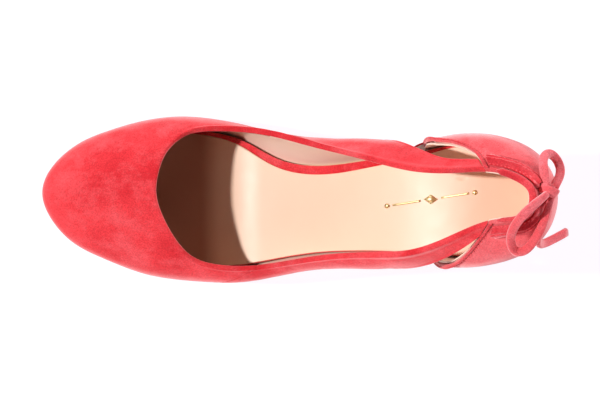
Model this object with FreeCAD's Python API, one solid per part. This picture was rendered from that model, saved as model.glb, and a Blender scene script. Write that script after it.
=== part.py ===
"""High heel pump for a left foot: suede upper with a cut-out on each side of the heel,
a separate heel counter with a laced bow at the back, and a covered slim heel.

Frame: millimetres, +Z up, floor at z = 0, toe towards -X, inner (arch) side towards +Y.
The origin lies on the floor under the middle of the shoe.
"""
import FreeCAD, Part
import math
import os

V = FreeCAD.Vector

# ---- driving dimensions ---------------------------------------------------------------
SUEDE = 1.25            # thickness of the upper's suede
GAP = 0.05              # glue line between two layers
STIFFENER = 0.65        # toe puff, heel stiffener and topline tape
LINING = 0.8            # lining leather
LINING_OUT = SUEDE + 2 * GAP + STIFFENER
LINING_IN = LINING_OUT + LINING
SOLE_FRONT = 3.0        # outsole under the ball
SOLE_WAIST = 2.2        # outsole under the arch
SOLE_INSET = 0.8        # outsole edge inside the upper's foot line
BREAST_X = 56.0         # where the outsole meets the heel
FLAT_X = (-70.0, -38.0)  # stretch of the outsole that lies flat on the floor
TOE_SPRING = 6.5        # rise of the outsole at the toe
BOARD = (1.8, 4.0)      # insole board, heights above the outsole
RIM_TOP = 4.7           # top of the suede wrapped round the insole board
SOCK_TOP = 5.6          # top of the sock lining
BOARD_INSET = 3.8       # insole board edge inside the upper's foot line
RIM_INSET = 2.95        # wrapped rim edge inside the upper's foot line
SHANK_X = (-30.0, 95.0)
SHANK_WIDTH = 12.0
TIP_HEIGHT = 6.0        # heel tip
TIP_X = (86.5, 101.6)
TIP_HALF_WIDTH = 8.4
HEEL_COVER = 0.9        # suede glued over the heel
PIN_X = 94.0            # axis of the pin and the tube inside the heel
SCREW_X = 86.0
NAILS = [(74.0, 12.0), (74.0, -12.0), (100.0, 10.0), (100.0, -10.0)]
CORD_D = 3.4            # suede lace of the bow
KNOT = V(109.4, 3.6, 138.8)
GIRTH_T = 0.3           # height parameter of the upper's widest line

# Side view of the bottom of the foot: x, height and slope where the curve changes.
BOTTOM = [(-38.0, SOLE_FRONT, 0.0), (-8.0, 10.0, 0.62), (22.0, 33.5, 0.93),
          (60.0, 66.0, 0.62), (112.0, 84.5, 0.22)]

# Stations round the upper, from the back seam along the inner side to the toe and back
# along the outer side: foot line x y, widest line x y z, topline x y z, lean at the top.
STATIONS = [
    (112, 1, 117.6, 1, 108, 103.2, 1.2, 144, 0.9),
    (104.5, 18.8, 108, 21, 107, 99.3, 8.4, 140, 0.9),
    (88, 27.4, 87, 28.8, 101, 87.5, 13.1, 129, 0.9),
    (72, 27, 71, 28.2, 91, 71.5, 13.1, 118, 0.9),
    (57, 23.8, 56, 26.5, 84, 55, 14.2, 107, 0.9),
    (38, 21.3, 37, 27.5, 75, 38, 18.8, 94, 0.9),
    (18, 19.2, 17, 28.5, 60, 18, 25, 74, 0.9),
    (-2, 22.5, -3, 31.8, 36, -2.5, 31.5, 50, 0.9),
    (-20, 32, -21, 36.4, 26, -20, 34.5, 39, 0.8),
    (-42, 36.8, -42, 39.9, 20, -37, 34.5, 36.5, 0.6),
    (-64, 35.8, -63, 39.3, 19, -47, 31.5, 37.5, 0.4),
    (-84, 29.5, -83.5, 34, 19, -53.5, 26, 40.5, 0.4),
    (-102, 21.5, -103, 25, 18, -58, 17.5, 43.5, 0.4),
    (-114, 4.5, -117.2, 4.5, 18, -60.2, 6, 45, 0.4),
    (-104, -14.5, -105.5, -18, 18, -58.8, -3.5, 44.3, 0.4),
    (-87, -24.5, -87.5, -28.2, 19, -54.5, -13.5, 42.5, 0.4),
    (-66, -32, -66.5, -36, 19, -48, -23.5, 40, 0.4),
    (-44, -35.5, -43, -39.3, 20, -38, -30.8, 37.8, 0.6),
    (-22, -35, -22, -39.5, 26, -21, -33, 38.5, 0.8),
    (-3, -31.5, -3, -36, 37, -2.5, -30.8, 50, 0.9),
    (17, -28, 17, -32, 56, 18, -26.8, 73, 0.9),
    (37, -26.8, 37, -31, 75, 38, -24.8, 93, 0.9),
    (56, -26.8, 56, -30.2, 84, 55, -23.5, 107, 0.9),
    (72, -27.6, 71, -29.6, 91, 71.5, -17.0, 118, 0.9),
    (88, -27.4, 87, -28.6, 101, 87.5, -9.6, 129, 0.9),
    (104.5, -18.2, 108, -20, 107, 99.5, -7.5, 140, 0.9),
]
TURN = len(STATIONS)

# Heel sections from the seat down: front x z, back x z, half width, squareness in front.
HEEL = [(54, 66, 112.4, 87.5, 27.2, 5), (56.5, 60, 111.6, 80.5, 26.6, 5),
        (63, 55, 110, 74, 24, 4.2), (72, 49, 107.6, 65, 19.5, 3.6),
        (79.5, 40, 105.2, 52, 14.5, 3.2), (83.5, 28, 103.2, 36, 10.8, 3),
        (85.8, 15, 102, 18, 9, 3), (TIP_X[0], TIP_HEIGHT, TIP_X[1], TIP_HEIGHT, TIP_HALF_WIDTH, 3)]

# Edges of the panels, as (station, height) with height 0 at the foot line, 1 at the topline.
SEAM_IN = [(9.1, 0), (7.2, 1)]
SEAM_OUT = [(17.0, 0), (18.4, 1)]
WINDOW_IN = [(4.85, 0), (4.62, 0.2), (4.3, 0.4), (3.85, 0.61), (3.15, 0.81), (2.1, 0.87)]
WINDOW_OUT = [(21.4, 0), (21.6, 0.2), (21.95, 0.38), (22.5, 0.54), (23.1, 0.7), (24.0, 0.88)]
COUNTER_OUT = [(22.7, 0), (22.95, 0.3), (23.4, 0.62), (23.8, 0.9), (23.9, 1)]
COUNTER_IN = [(29.6, 0), (29.52, 0.28), (29.32, 0.44), (28.93, 0.54), (28.6, 0.65), (28.36, 0.76),
              (28.25, 0.88), (28.2, 1)]
COLLAR = (24.15, 27.85)  # stations where the rolled band on the counter's top edge ends

# Routes of the bow's loops and tails, from the knot outwards.
LOOP_INNER = [V(108.8, 5.6, 140.2), V(107.4, 11.8, 140.2), V(107.4, 17.4, 136.6),
              V(110.6, 19.9, 132.4), V(114.8, 16.8, 129.6), V(116.2, 10.6, 131.4),
              V(112.2, 4.8, 137.4)]
LOOP_OUTER = [V(108.6, 2.6, 141.4), V(104.4, -0.2, 148.8), V(98.0, -5.6, 147.6), V(94.2, -12.2, 140.2),
              V(94.4, -18.0, 133.4), V(96.8, -21.8, 131.0), V(101.0, -21.2, 132.6),
              V(104.4, -16.2, 136.6), V(107.4, -9.6, 140.6), V(110.4, 0.8, 140.4)]
TAIL_INNER = [V(111.4, 5.0, 134.4), V(114.4, 8.4, 129.2), V(117.0, 11.2, 121.4), V(118.6, 14.0, 113.4),
              V(118.2, 16.8, 105.0)]
TAIL_OUTER = [V(110.6, 0.6, 135.0), V(110.0, -4.6, 135.8), V(107.8, -10.6, 133.0),
              V(106.2, -17.2, 129.6), V(110.0, -19.4, 118.8), V(121.6, -13.8, 108.5)]


# ---- curves and the surface of the upper ------------------------------------------------
def cubic(start, start_slope, end, end_slope, u):
    """Cubic between two values whose slopes are given per unit of u."""
    return (start * (2 * u**3 - 3 * u**2 + 1) + start_slope * (u**3 - 2 * u**2 + u)
            + end * (3 * u**2 - 2 * u**3) + end_slope * (u**3 - u**2))


def bottom_height(x):
    """Height of the outsole's top side, where the upper's foot line runs."""
    if x < FLAT_X[0]:
        return SOLE_FRONT + TOE_SPRING * ((FLAT_X[0] - x) / 48.0) ** 2
    if x < BOTTOM[0][0]:
        return SOLE_FRONT
    for (x0, z0, m0), (x1, z1, m1) in zip(BOTTOM, BOTTOM[1:]):
        if x <= x1:
            return cubic(z0, m0 * (x1 - x0), z1, m1 * (x1 - x0), (x - x0) / (x1 - x0))
    return z1 + m1 * (x - x1)


def bottom_normal(x):
    slope = (bottom_height(x + 0.01) - bottom_height(x - 0.01)) / 0.02
    return V(-slope, 0, 1).normalize()


def above_bottom(x, height, y=0.0):
    """Point at a height above the outsole's top side, measured square to it."""
    return V(x, y, bottom_height(x)) + bottom_normal(x) * height


def ring_coefficients(values):
    """Control values of the closed cubic curve that passes through the given values."""
    control = list(values)
    for _ in range(40):
        for i in range(TURN):
            control[i] = (6 * values[i] - control[i - 1] - control[(i + 1) % TURN]) / 4.0
    return control


RINGS = [ring_coefficients([float(row[k]) for row in STATIONS]) for k in range(9)]


def ring(k, s):
    """Value k of the stations at the running station number s."""
    i = math.floor(s)
    u = s - i
    weights = ((1 - u)**3, 3 * u**3 - 6 * u**2 + 4, -3 * u**3 + 3 * u**2 + 3 * u + 1, u**3)
    return sum(w * RINGS[k][(i - 1 + j) % TURN] for j, w in enumerate(weights)) / 6.0


def outer_point(s, t):
    """Point of the upper's outer side at station s and height t."""
    foot = V(ring(0, s), ring(1, s), 0)
    foot.z = bottom_height(foot.x)
    girth = V(ring(2, s), ring(3, s), ring(4, s))
    top = V(ring(5, s), ring(6, s), ring(7, s))
    rise = 1.48 * (top.z - girth.z)
    if t < GIRTH_T:
        u = t / GIRTH_T
        low = V(2 * (girth.x - foot.x), 2 * (girth.y - foot.y), 0.8 * (girth.z - foot.z))
        high = V(0, 0, rise * GIRTH_T / (1 - GIRTH_T))
        return V(*[cubic(foot[k], low[k], girth[k], high[k], u) for k in range(3)])
    u = (t - GIRTH_T) / (1 - GIRTH_T)
    low = V(0, 0, rise)
    high = V(1.15 * (top.x - girth.x), 1.15 * (top.y - girth.y), ring(8, s) * (top.z - girth.z))
    return V(*[cubic(girth[k], low[k], top[k], high[k], u) for k in range(3)])


def upper_point(s, t, depth):
    """Point inside the upper's outer side by depth; a negative depth lies outside it."""
    step = 0.01
    along = outer_point(s + step, t) - outer_point(s - step, t)
    t0 = max(0.0, t - step)
    t1 = min(1.0, t + step)
    normal = along.cross(outer_point(s, t1) - outer_point(s, t0)).normalize()
    level = V(along.y, -along.x, 0).normalize()
    share = min(1.0, t / GIRTH_T)
    share = share * share * (3 - 2 * share)
    outward = (level * (1 - share) + normal * share).normalize()
    return outer_point(s, t) - outward * depth


# ---- solid builders -----------------------------------------------------------------------
def between(points, u):
    """Point on the line through the given (station, height) points, evenly numbered."""
    place = u * (len(points) - 1)
    i = min(int(place), len(points) - 2)
    part = place - i
    return tuple(a + (b - a) * part for a, b in zip(points[i], points[i + 1]))


def smooth(points, u):
    """As between, but rounded through the points."""
    n = len(points)
    place = u * (n - 1)
    i = min(int(place), n - 2)
    part = place - i
    result = []
    for a in range(2):
        p = [points[min(max(i + k, 0), n - 1)][a] for k in (-1, 0, 1, 2)]
        result.append(cubic(p[1], (p[2] - p[0]) / 2, p[2], (p[3] - p[1]) / 2, part))
    return tuple(result)


def solid_between(outer, inner):
    """Solid between two grids of points of the same size."""
    surfaces = []
    for grid in (outer, inner):
        surface = Part.BSplineSurface()
        surface.interpolate(grid)
        surfaces.append(surface)
    u0, u1, v0, v1 = surfaces[0].bounds()
    w0, w1, q0, q1 = surfaces[1].bounds()
    sides = [(surfaces[0].uIso(u0), surfaces[1].uIso(w0)), (surfaces[0].uIso(u1), surfaces[1].uIso(w1)),
             (surfaces[0].vIso(v0), surfaces[1].vIso(q0)), (surfaces[0].vIso(v1), surfaces[1].vIso(q1))]
    faces = [surface.toShape() for surface in surfaces]
    faces += [Part.makeRuledSurface(a.toShape(), b.toShape()) for a, b in sides]
    shell = Part.Shell(faces)
    shell.sewShape()
    solid = Part.makeSolid(Part.Shell(shell.Faces))
    if solid.Volume < 0:
        solid.reverse()
    return solid


def as_depth(value):
    return value if callable(value) else lambda u, v: value


def panel(low, top, outer, inner, columns, rows, line=smooth):
    """Panel of the upper between a low and a top edge, outer and inner being its depths."""
    grids = []
    for depth in (as_depth(outer), as_depth(inner)):
        grid = []
        for i in range(columns + 1):
            u = i / columns
            s0, t0 = line(low, u)
            s1, t1 = line(top, u)
            grid.append([upper_point(s0 + (s1 - s0) * j / rows, t0 + (t1 - t0) * j / rows,
                                     depth(u, j / rows)) for j in range(rows + 1)])
        grids.append(grid)
    return solid_between(*grids)


def foot_outline(inset):
    """Closed plan outline inside the foot line by inset, a number or a rule of the station."""
    points = []
    for k in range(2 * TURN):
        s = k / 2
        point = V(ring(0, s), ring(1, s), 0)
        along = V(ring(0, s + 0.01) - ring(0, s - 0.01), ring(1, s + 0.01) - ring(1, s - 0.01), 0)
        amount = inset(s) if callable(inset) else inset
        points.append(point - V(along.y, -along.x, 0).normalize() * amount)
    curve = Part.BSplineCurve()
    curve.interpolate(Points=points, PeriodicFlag=True)
    return Part.Face(Part.Wire(curve.toShape()))


def layer_slab(low, high, x0=-124.0, x1=122.0):
    """Wide slab between two heights above the outsole's top side."""
    count = 44
    xs = [x0 + (x1 - x0) * k / count for k in range(count + 1)]
    curves = []
    for height in (low, high):
        curve = Part.BSplineCurve()
        curve.interpolate(Points=[above_bottom(x, height, -60.0) for x in xs])
        curves.append(curve.toShape())
    ends = [Part.LineSegment(above_bottom(x, low, -60.0), above_bottom(x, high, -60.0)).toShape()
            for x in (x0, x1)]
    wire = Part.Wire(Part.__sortEdges__(curves + ends))
    return Part.Face(wire).extrude(V(0, 120, 0))


def plate(inset, low, high, x0=-124.0, x1=122.0):
    """Layer of the bottom with an upright edge inside the foot line."""
    column = foot_outline(inset).extrude(V(0, 0, 150))
    column.translate(V(0, 0, -10))
    return column.common(layer_slab(low, high, x0, x1))


def seat_peg(x, y, low, high, radius):
    """Round peg square to the seat between two heights above the outsole's top side."""
    start = above_bottom(x, low, y)
    return Part.makeCylinder(radius, high - low, start, bottom_normal(x))


def cord(points, diameter):
    """Round tube along straight runs joined by arcs as large as the runs allow."""
    edges = []
    last = points[0]
    for before, corner, after in zip(points, points[1:], points[2:]):
        back = (before - corner).normalize()
        on = (after - corner).normalize()
        reach = 0.45 * min((before - corner).Length, (after - corner).Length)
        start = corner + back * reach
        end = corner + on * reach
        half = back.getAngle(on) / 2
        radius = reach * math.tan(half)
        middle = corner + (back + on).normalize() * (reach / math.cos(half) - radius)
        edges.append(Part.LineSegment(last, start).toShape())
        edges.append(Part.Arc(start, middle, end).toShape())
        print("bend radius %.1f" % radius)
        last = end
    edges.append(Part.LineSegment(last, points[-1]).toShape())
    path = Part.Wire(edges)
    ring_wire = Part.Wire(Part.makeCircle(diameter / 2, points[0], points[1] - points[0]))
    tube = path.makePipeShell([ring_wire], True, False)
    print("tube volume over its section times its length %.3f"
          % (tube.Volume / (path.Length * math.pi * diameter**2 / 4)))
    return tube


# ---- bottom ----------------------------------------------------------------------------------
def make_outsole():
    """Leather outsole: flat under the ball, curved up at the toe and along the arch."""
    def thickness(x):
        share = min(1.0, max(0.0, (x - FLAT_X[1]) / 30.0))
        return SOLE_FRONT + (SOLE_WAIST - SOLE_FRONT) * share * share * (3 - 2 * share)

    def side(points):
        curve = Part.BSplineCurve()
        curve.interpolate(Points=points)
        return curve.toShape()

    toe = [above_bottom(x, -SOLE_FRONT, -60.0) for x in (-122, -114, -106, -98, -90, -82, -76, FLAT_X[0])]
    waist = [above_bottom(x, -thickness(x), -60.0) for x in [FLAT_X[1], *range(-30, 51, 8)]]
    waist.append(above_bottom(BREAST_X, -thickness(BREAST_X), -60.0))
    top = [above_bottom(x, 0, -60.0) for x in range(-122, 51, 4)] + [above_bottom(BREAST_X, 0, -60.0)]
    edges = [side(toe), Part.LineSegment(toe[-1], waist[0]).toShape(), side(waist),
             Part.LineSegment(waist[-1], top[-1]).toShape(), side(top),
             Part.LineSegment(top[0], toe[0]).toShape()]
    profile = Part.Face(Part.Wire(Part.__sortEdges__(edges))).extrude(V(0, 120, 0))
    column = foot_outline(SOLE_INSET).extrude(V(0, 0, 150))
    column.translate(V(0, 0, -10))
    return column.common(profile)


def make_shank(clearance=0.0):
    """Spring steel strip that bridges the arch."""
    half = SHANK_WIDTH / 2 + clearance
    bar = Part.makeBox(SHANK_X[1] - SHANK_X[0] + 2 * clearance, 2 * half, 170,
                       V(SHANK_X[0] - clearance, -half, -10))
    return bar.common(layer_slab(0.25 - clearance, 1.55 + clearance))


def make_fasteners():
    """Heel screw and heel nails, driven through the seat from above."""
    screw = seat_peg(SCREW_X, 0, -22.0, 3.2, 2.0).fuse(seat_peg(SCREW_X, 0, 3.0, 3.9, 3.8))
    slot = Part.makeBox(9, 0.9, 0.6, V(-4.5, -0.45, -0.3))
    normal = bottom_normal(SCREW_X)
    slot.Placement = FreeCAD.Placement(above_bottom(SCREW_X, 3.8), FreeCAD.Rotation(V(0, 0, 1), normal))
    nails = [seat_peg(x, y, -11.0, 3.4, 0.9).fuse(seat_peg(x, y, 3.3, 3.9, 1.9)) for x, y in NAILS]
    return screw.cut(slot), nails


def fastener_holes():
    """Holes for the screw and the nails."""
    pegs = [seat_peg(SCREW_X, 0, -22.1, 5.0, 2.03)]
    pegs += [seat_peg(x, y, -11.1, 5.0, 0.93) for x, y in NAILS]
    pegs.append(seat_peg(SCREW_X, 0, 2.95, 5.0, 3.85))
    pegs += [seat_peg(x, y, 3.25, 5.0, 1.95) for x, y in NAILS]
    return Part.makeCompound(pegs)


def rim_width(s):
    """Width of the wrapped rim left bare beside the sock: a narrow line, wide along the arch."""
    return 0.5 + 3.7 * math.exp(-((s - 6.2) / 2.6) ** 2)


def make_insole_wrap():
    """Suede strip glued round the edge of the insole board and turned over its top."""
    ring_solid = plate(RIM_INSET, BOARD[0] + GAP, RIM_TOP)
    ring_solid = ring_solid.cut(plate(BOARD_INSET - GAP, BOARD[0] - 1, BOARD[1] + GAP))
    return ring_solid.cut(plate(9.75, BOARD[1] - 1, RIM_TOP + 1))


# ---- heel --------------------------------------------------------------------------------------
def heel_section(row, shrink):
    x0, z0, x1, z1, half_width, square = row
    x0, x1, half_width = x0 + shrink, x1 - shrink, half_width - shrink
    middle = (x0 + x1) / 2
    points = []
    for k in range(24):
        angle = 2 * math.pi * k / 24
        power = square if math.cos(angle) < 0 else 2
        cx = math.copysign(abs(math.cos(angle)) ** (2 / power), math.cos(angle))
        cy = math.copysign(abs(math.sin(angle)) ** (2 / power), math.sin(angle))
        x = middle + (x1 - x0) / 2 * cx
        points.append(V(x, half_width * cy, z0 + (z1 - z0) * (x - x0) / (x1 - x0)))
    curve = Part.BSplineCurve()
    curve.interpolate(Points=points, PeriodicFlag=True)
    return Part.Wire(curve.toShape())


def heel_body(shrink):
    """Heel block, its seat hollowed to the bottom of the upper."""
    rows = list(HEEL)
    rows.insert(0, (51.0, 76.0, 113.0, 98.0, 27.4, 5))
    body = Part.makeLoft([heel_section(row, shrink) for row in rows], True, False)
    body = body.cut(layer_slab(-GAP, 60.0, 30.0, 122.0))
    return body.cut(layer_slab(-SOLE_WAIST - GAP, 60.0, 20.0, BREAST_X + GAP))


def pin_bore():
    return Part.makeCylinder(2.53, 38.1, V(PIN_X, 0, TIP_HEIGHT + 1.0 - GAP))


def make_heel_core():
    body = heel_body(HEEL_COVER + GAP)
    entry = Part.makeCylinder(1.6, 2.0, V(PIN_X, 0, TIP_HEIGHT - 1))
    return body.cut(Part.makeCompound([pin_bore(), entry, fastener_holes()]))


def make_heel_cover():
    """Suede drawn over the heel block; it ends at the tip."""
    return heel_body(0.0).cut(heel_body(HEEL_COVER)).cut(
        Part.makeBox(40, 40, 4, V(74, -20, TIP_HEIGHT - 4)))


def make_heel_tip():
    face = Part.Face(heel_section(HEEL[-1], 0.0))
    face.translate(V(0, 0, -TIP_HEIGHT))
    tip = face.extrude(V(0, 0, TIP_HEIGHT - GAP))
    return tip.cut(Part.makeCylinder(1.53, 10, V(PIN_X, 0, 1.4)))


def make_tip_pin():
    return Part.makeCylinder(1.5, 22.5, V(PIN_X, 0, 1.5))


def make_heel_tube():
    tube = Part.makeCylinder(2.5, 38.0, V(PIN_X, 0, TIP_HEIGHT + 1.0))
    return tube.cut(Part.makeCylinder(1.55, 40.0, V(PIN_X, 0, TIP_HEIGHT)))


# ---- upper ---------------------------------------------------------------------------------------
def make_vamp(outer, inner, shift=0.0):
    low = [(SEAM_IN[0][0] + 0.03 + shift, 0), (SEAM_OUT[0][0] - 0.03 - shift, 0)]
    top = [(SEAM_IN[1][0] + 0.03 + shift, 1), (SEAM_OUT[1][0] - 0.03 - shift, 1)]
    return panel(low, top, outer, inner, 44, 12, between)


def window_prism(line, side):
    """Everything under and behind a strap, as seen from the side."""
    points = [upper_point(s, t, SUEDE / 2) for s, t in line]
    points = [V(p.x, 0, p.z) for p in points]
    curve = Part.BSplineCurve()
    curve.interpolate(Points=points)
    floor_z = points[0].z - 20
    corners = [points[-1], V(points[-1].x + 40, 0, points[-1].z), V(points[-1].x + 40, 0, floor_z),
               V(points[0].x, 0, floor_z), points[0]]
    edges = [Part.LineSegment(a, b).toShape() for a, b in zip(corners, corners[1:])]
    return Part.Face(Part.Wire([curve.toShape()] + edges)).extrude(V(0, 50 * side, 0))


def make_quarter_inner(outer, inner):
    low = [(SEAM_IN[0][0] - 0.05, 0), (2.4, 0)]
    top = [(SEAM_IN[1][0] - 0.05, 1), (2.23, 1)]
    return panel(low, top, outer, inner, 30, 10, between).cut(window_prism(WINDOW_IN, 1))


def make_quarter_outer(outer, inner):
    low = [(SEAM_OUT[0][0] + 0.05, 0), (23.6, 0)]
    top = [(SEAM_OUT[1][0] + 0.05, 1), (23.86, 1)]
    return panel(low, top, outer, inner, 30, 10, between).cut(window_prism(WINDOW_OUT, -1))


def make_counter(outer, inner, inset=0.0, low=0.0, high=1.0):
    """Heel counter piece; inset draws its front edges back, low and high its other edges."""
    def edge(height):
        def at(line):
            for (s0, t0), (s1, t1) in zip(line, line[1:]):
                if height <= t1:
                    return s0 + (s1 - s0) * (height - t0) / (t1 - t0)
            return line[-1][0]
        return at(COUNTER_OUT) + inset, at(COUNTER_IN) - inset

    columns, rows = 40, 9
    grids = []
    for depth in (outer, inner):
        grid = []
        for i in range(columns + 1):
            line = []
            for j in range(rows + 1):
                height = low + (high - low) * j / rows
                start, end = edge(height)
                line.append(upper_point(start + (end - start) * i / columns, height, depth))
            grid.append(line)
        grids.append(grid)
    return solid_between(*grids)


def make_edge_binding(line, width):
    """Suede strip sewn over a front edge of the counter, at its widest on the topline."""
    back = [(s + width * (0.55 + 0.65 * t**4), t) for s, t in line]
    return panel(line, back, -GAP, -0.9, 12, 3)


def make_topline_tape():
    """Nylon tape under the folded topline, from the inner strap round the throat."""
    low = [(3.0, 0.9), (8.0, 0.9), (13.0, 0.945), (18.0, 0.9), (23.0, 0.9)]
    top = [(3.0, 0.97), (8.0, 0.97), (13.0, 0.985), (18.0, 0.97), (23.0, 0.97)]
    return panel(low, top, SUEDE + GAP, SUEDE + GAP + 0.5, 60, 3)


def make_toe_puff():
    low = [(10.2, 0.02), (13.0, 0.02), (15.8, 0.02)]
    top = [(10.9, 0.42), (13.0, 0.58), (15.2, 0.42)]
    return panel(low, top, SUEDE + GAP, SUEDE + GAP + STIFFENER, 24, 6)


def make_casing(s_front, s_back, t_low, t_high):
    """Suede tunnel for the lace, sewn to the counter along its two long edges."""
    low = [(s_front, t_low[0]), (s_back, t_low[1])]
    top = [(s_front, t_high[0]), (s_back, t_high[1])]

    def under(u, v):
        return -GAP - 2.2 * math.sin(math.pi * v) ** 0.8

    def over(u, v):
        return under(u, v) - 0.9
    return panel(low, top, over, under, 16, 8, between)


def make_lace_run(s_front, s_back, t_low, t_high, end):
    """Flat lace inside a casing, then free for a few millimetres to the knot."""
    grids = []
    for depth in (-1.5, -0.3):
        grid = []
        for i in range(9):
            s = s_front + (s_back - s_front) * i / 8
            grid.append([upper_point(s, t_low + (t_high - t_low) * j / 3, depth) for j in range(4)])
        last = grid[-1]
        middle = (last[0] + last[3]) * 0.5
        for share in (0.5, 1.0):
            centre = middle + (end - middle) * share
            across = (last[3] - last[0]).normalize()
            width = 3.4 - 0.6 * share
            outward = (last[0] - V(0, 0, last[0].z)).normalize() * (-depth - 0.9)
            grid.append([centre + outward + across * width * (j / 3 - 0.5) for j in range(4)])
        grids.append(grid)
    return solid_between(*grids)


def make_collar_binding():
    """Rolled suede band along the top edge of the counter, thinner at its outer end."""
    sections = []
    for k in range(17):
        s = COLLAR[0] + (COLLAR[1] - COLLAR[0]) * k / 16
        centre = upper_point(s, 1.0, 0.9)
        centre.z += 0.7
        along = outer_point(s + 0.01, 1.0) - outer_point(s - 0.01, 1.0)
        sections.append(Part.Wire(Part.makeCircle(0.9 + 0.4 * min(1.0, k / 6), centre, along)))
    return Part.makeLoft(sections, True, False)


def make_knot():
    """Flattened knot of the bow."""
    knot = Part.makeSphere(3.8)
    shape = FreeCAD.Matrix()
    shape.scale(V(1.05, 1.1, 0.85))
    knot = knot.transformGeometry(shape)
    knot.Placement = FreeCAD.Placement(KNOT, FreeCAD.Rotation(V(0, 0, 1), -35))
    return knot


# ---- the pieces ------------------------------------------------------------------------------------
def make_pieces():
    pieces = {}
    holes = fastener_holes()
    pieces["outsole"] = make_outsole()
    pieces["shank"] = make_shank().cut(holes)
    pieces["sole_filler"] = plate(RIM_INSET, GAP, BOARD[0] - GAP).cut(make_shank(GAP)).cut(holes)
    pieces["insole_board"] = plate(BOARD_INSET, *BOARD).cut(holes)
    pieces["insole_wrap"] = make_insole_wrap()
    pieces["sock_pad"] = plate(10.0, BOARD[1] + GAP, RIM_TOP - GAP)
    pieces["sock_lining"] = plate(lambda s: RIM_INSET + rim_width(s), RIM_TOP, SOCK_TOP)

    pieces["heel_core"] = make_heel_core()
    pieces["heel_cover"] = make_heel_cover()
    pieces["heel_tip"] = make_heel_tip()
    pieces["tip_pin"] = make_tip_pin()
    pieces["heel_tube"] = make_heel_tube()
    screw, nails = make_fasteners()
    pieces["heel_screw"] = screw
    pieces["heel_nails"] = Part.makeCompound(nails)

    pieces["vamp"] = make_vamp(0.0, SUEDE)
    pieces["vamp_lining"] = make_vamp(LINING_OUT, LINING_IN, 0.02)
    pieces["toe_puff"] = make_toe_puff()
    pieces["topline_tape"] = make_topline_tape()
    pieces["quarter_inner"] = make_quarter_inner(0.0, SUEDE)
    pieces["quarter_outer"] = make_quarter_outer(0.0, SUEDE)
    pieces["quarter_lining_inner"] = make_quarter_inner(LINING_OUT, LINING_IN)
    pieces["quarter_lining_outer"] = make_quarter_outer(LINING_OUT, LINING_IN)
    pieces["counter"] = make_counter(0.0, SUEDE)
    pieces["counter_stiffener"] = make_counter(SUEDE + GAP, LINING_OUT - GAP, 0.25, 0.02, 0.85)
    pieces["counter_lining"] = make_counter(LINING_OUT, LINING_IN)
    pieces["counter_binding_inner"] = make_edge_binding([(s - TURN, t) for s, t in COUNTER_IN], -0.1)
    pieces["counter_binding_outer"] = make_edge_binding(COUNTER_OUT, 0.1)
    pieces["collar_binding"] = make_collar_binding()
    pieces["casing_inner"] = make_casing(2.05, 0.45, (0.82, 0.85), (0.965, 0.965))
    pieces["casing_outer"] = make_casing(24.05, 25.4, (0.83, 0.85), (0.965, 0.965))
    pieces["lace_run_inner"] = make_lace_run(2.0, 0.5, 0.86, 0.93, V(108.2, 6.4, 137.4))
    pieces["lace_run_outer"] = make_lace_run(24.1, 25.45, 0.86, 0.93, V(109.4, -0.6, 136.6))
    pieces["bow_knot"] = make_knot()
    pieces["bow_loop_inner"] = cord(LOOP_INNER, CORD_D)
    pieces["bow_loop_outer"] = cord(LOOP_OUTER, CORD_D)
    pieces["lace_tail_inner"] = cord(TAIL_INNER, CORD_D)
    pieces["lace_tail_outer"] = cord(TAIL_OUTER, CORD_D)
    return pieces


os.makedirs("parts", exist_ok=True)
for name, shape in make_pieces().items():
    good = shape.isValid() and len(shape.Solids) > 0
    print("%-24s solids %d volume %9.1f valid %s" % (name, len(shape.Solids), shape.Volume, good))
    shape.exportStep("parts/%s.step" % name)
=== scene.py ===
"""Looks of the coral suede pump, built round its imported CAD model.

The shoe's shape is worked out in millimetres and written to meshes in metres.
Stations run round the upper from the back seam along the inner side to the toe and back
along the outer side; a height of 0 is the foot line and 1 is the topline.
"""
import math

import bpy
import numpy as np
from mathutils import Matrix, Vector, noise


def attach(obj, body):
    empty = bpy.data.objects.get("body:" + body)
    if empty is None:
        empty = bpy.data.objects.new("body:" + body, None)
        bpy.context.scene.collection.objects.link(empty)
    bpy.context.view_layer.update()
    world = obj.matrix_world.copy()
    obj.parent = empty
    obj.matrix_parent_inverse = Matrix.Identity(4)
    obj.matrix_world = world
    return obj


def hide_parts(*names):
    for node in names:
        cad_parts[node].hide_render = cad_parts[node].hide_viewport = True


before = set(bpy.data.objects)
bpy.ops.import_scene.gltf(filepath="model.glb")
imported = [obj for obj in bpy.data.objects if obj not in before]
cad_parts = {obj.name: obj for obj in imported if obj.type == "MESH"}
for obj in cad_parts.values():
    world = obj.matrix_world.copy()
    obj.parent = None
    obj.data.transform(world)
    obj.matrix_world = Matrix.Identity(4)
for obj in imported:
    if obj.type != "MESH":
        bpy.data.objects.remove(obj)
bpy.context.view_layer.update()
MM = 0.001

# ---- sizes in mm, as the CAD model has them --------------------------------------------------
SUEDE = 1.25            # thickness of the upper's leather
TAPE_FOLD = 0.72        # what the fold over the tape adds, and then the fold of the edge
EDGE_FOLD = 0.7
LINING_OUT = 2.0        # depths of the lining's two sides in the upper
LINING_IN = 2.8
SOLE_FRONT = 3.0        # thickness of the sole, which thins over a stretch of x
SOLE_WAIST = 2.2
SOLE_THINS = (-38.0, -8.0)
SOLE_INSET = 0.8
BREAST_X = 56.0
TOE_SPRING_X = -70.0    # the sole rises in front of this place, over this run
TOE_SPRING_RUN = 48.0
TOE_SPRING = 6.5
RIM_INSET = 2.95
RIM_REACH = 9.6         # how far the rim's suede runs in under the sock
RIM_LOW, RIM_UNDER, RIM_TOP = 1.9, 4.06, 4.7
RIM_RADIUS = 0.8
SOCK_LOW = 4.7
SOCK_TOP = 5.6
RING = (79.5, 10.6)     # middle of the ring embossed in the sock
TIP_HEIGHT = 6.0
TIP_GAP = 0.1           # gaps between the tip, the heel and the sole
SEAT_GAP = 0.06
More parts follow.
